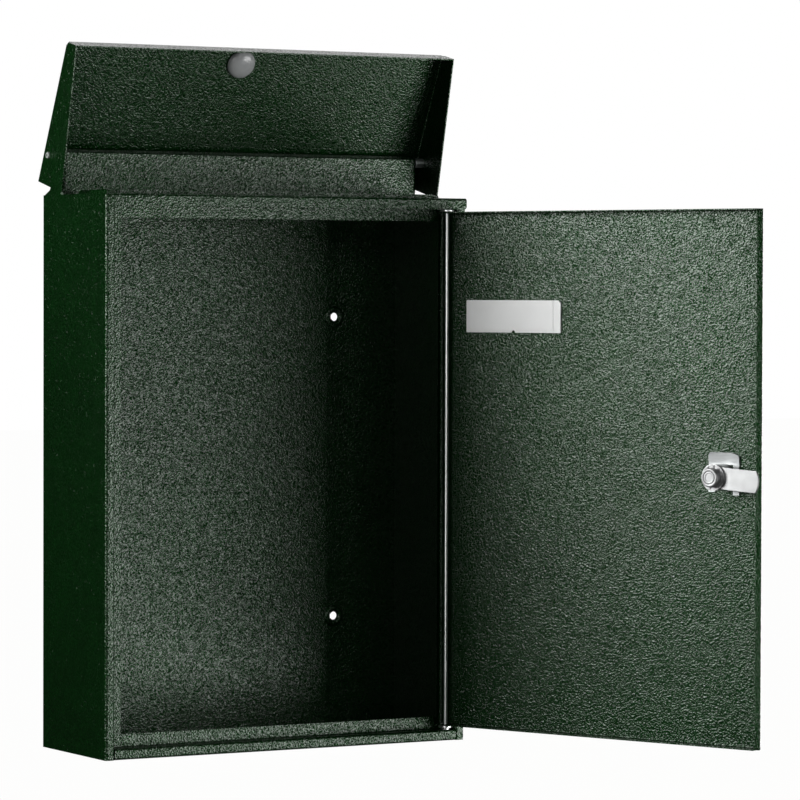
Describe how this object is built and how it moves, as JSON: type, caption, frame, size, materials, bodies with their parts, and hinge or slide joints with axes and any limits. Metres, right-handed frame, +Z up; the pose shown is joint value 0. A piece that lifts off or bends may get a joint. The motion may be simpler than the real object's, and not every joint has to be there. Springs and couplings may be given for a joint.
{
  "type": "wall mounted mailbox",
  "caption": "Sheet-steel wall mailbox with a key-locked side-hinged front door, a top letter slot under a wedge-shaped lifting lid, a nameplate and rear wall screw holes.",
  "frame": {"origin": "centre of the four wall screw holes, on the rear face of the back panel", "axes": "+X to the right seen from the front, -Y out to the front, +Z up"},
  "size_m": [0.4009, 0.3617, 0.5096],
  "materials": {
    "green_paint": "dark green hammered gloss paint",
    "zinc_steel": "zinc plated",
    "rod_steel": "bright drawn wire",
    "lock_chrome": "satin chrome",
    "clear_plastic": "clear moulded plastic",
    "white_plastic": "milky moulded plastic",
    "label_card": "white card",
    "grey_rubber": "smooth grey"
  },
  "bodies": {
    "case": {"back_panel": "green_paint", "left_side_panel": "green_paint", "right_side_panel": "green_paint", "bottom_panel": "green_paint", "top_cover": "green_paint", "door_header": "green_paint", "hinge_upstand": "green_paint", "hinge_rod": "rod_steel", "hinge_washers": "rod_steel"},
    "lid": {"lid": "green_paint", "lid_rivets": "zinc_steel", "lid_spacers": "zinc_steel", "lid_bumper": "grey_rubber"},
    "door": {"door_panel": "green_paint", "nameplate_window": "clear_plastic", "nameplate_card": "label_card", "nameplate_backing": "white_plastic", "lock_barrel": "lock_chrome", "lock_clip": "zinc_steel"},
    "lock_core": {"lock_plug": "lock_chrome", "lock_cam": "lock_chrome", "lock_cam_washer": "lock_chrome", "lock_cam_nut": "lock_chrome"}
  },
  "joints": [
    {"name": "lid_hinge", "type": "hinge", "parent": "case", "child": "lid", "pos_m": [0, -0.027, 0.2294], "axis": [-1, 0, 0], "range_deg": [-77, 0]},
    {"name": "door_hinge", "type": "hinge", "parent": "case", "child": "door", "pos_m": [0.1333, -0.1006, 0], "axis": [0, 0, 1], "range_deg": [-113, 0]},
    {"name": "lock_turn", "type": "hinge", "parent": "door", "child": "lock_core", "pos_m": [0.23178, -0.32083, 0.0023], "axis": [-0.9205, -0.3907, 0], "range_deg": [0, 90]}
  ]
}
